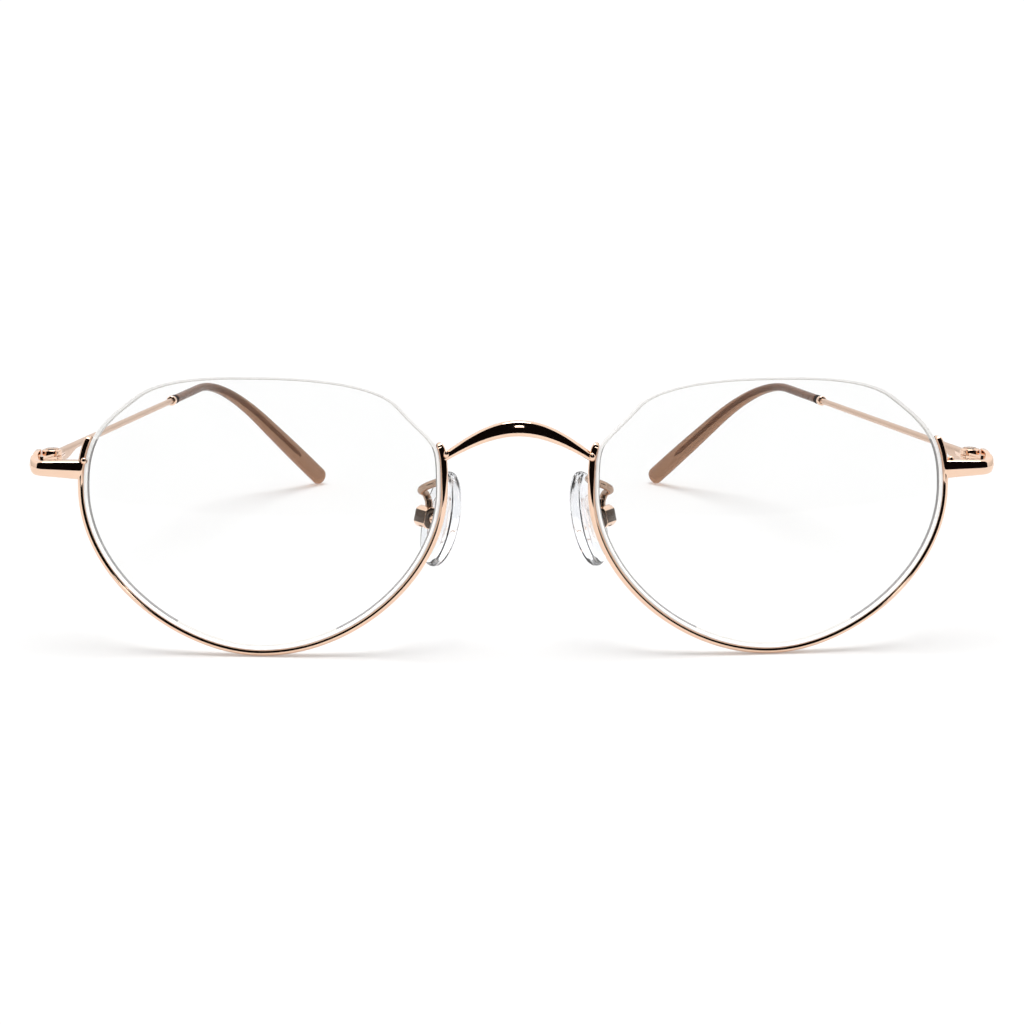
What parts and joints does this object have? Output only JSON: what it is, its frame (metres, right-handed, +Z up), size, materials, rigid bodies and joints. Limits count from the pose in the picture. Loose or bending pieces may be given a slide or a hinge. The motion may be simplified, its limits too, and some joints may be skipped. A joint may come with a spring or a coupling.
{
  "type": "eyeglasses",
  "caption": "Semi-rimless eyeglasses with cord-held clear lenses, an arched metal bridge, pads on wire arms, and slim folding temples with plastic tips.",
  "frame": {"origin": "on the floor, midway along the length and the width of the open glasses standing on their rims and temple tips", "axes": "+X towards the wearer's left, +Y from the front back to the ears, +Z up"},
  "size_m": [0.1374, 0.1419, 0.0401],
  "materials": {
    "rose_gold": "polished rose-gold plating on nickel alloy",
    "lens": "clear polished plastic",
    "nylon": "clear nylon",
    "liner": "pale nylon",
    "screw": "polished and plated",
    "insert": "pale hard plastic",
    "silicone": "clear satin silicone",
    "dark_ring": "near-black",
    "tip_plastic": "polished brown acetate, slightly see-through"
  },
  "bodies": {
    "front": {"rim_left": "rose_gold", "rim_right": "rose_gold", "rim_liner_left": "liner", "rim_liner_right": "liner", "lens_left": "lens", "lens_right": "lens", "nylon_cord_left": "nylon", "nylon_cord_right": "nylon", "bridge": "rose_gold", "end_piece_left": "rose_gold", "end_piece_right": "rose_gold", "front_hinge_left": "rose_gold", "front_hinge_right": "rose_gold", "hinge_screw_left": "screw", "hinge_screw_right": "screw", "pad_arm_left": "rose_gold", "pad_arm_right": "rose_gold", "pad_box_left": "rose_gold", "pad_box_right": "rose_gold", "pad_screw_left": "screw", "pad_screw_right": "screw"},
    "temple_arm_left": {"temple_hinge_left": "rose_gold", "temple_left": "rose_gold", "tip_collar_left": "rose_gold", "tip_ring_left": "dark_ring", "temple_tip_left": "tip_plastic"},
    "temple_arm_right": {"temple_hinge_right": "rose_gold", "temple_right": "rose_gold", "tip_collar_right": "rose_gold", "tip_ring_right": "dark_ring", "temple_tip_right": "tip_plastic"},
    "pad_left": {"nose_pad_left": "silicone", "pad_insert_left": "insert"},
    "pad_right": {"nose_pad_right": "silicone", "pad_insert_right": "insert"}
  },
  "joints": [
    {"name": "fold_left", "type": "hinge", "parent": "front", "child": "temple_arm_left", "pos_m": [0.0661, -0.0597, 0.0271], "axis": [0, 0, 1], "range_deg": [0, 78]},
    {"name": "fold_right", "type": "hinge", "parent": "front", "child": "temple_arm_right", "pos_m": [-0.0661, -0.0597, 0.0271], "axis": [0, 0, -1], "range_deg": [0, 65]},
    {"name": "pad_rock_left", "type": "hinge", "parent": "front", "child": "pad_left", "pos_m": [0.01271, -0.06085, 0.01873], "axis": [0.5446, 0.8387, 0], "range_deg": [-12, 12]},
    {"name": "pad_rock_right", "type": "hinge", "parent": "front", "child": "pad_right", "pos_m": [-0.01271, -0.06085, 0.01873], "axis": [0.5446, -0.8387, 0], "range_deg": [-12, 12]}
  ]
}
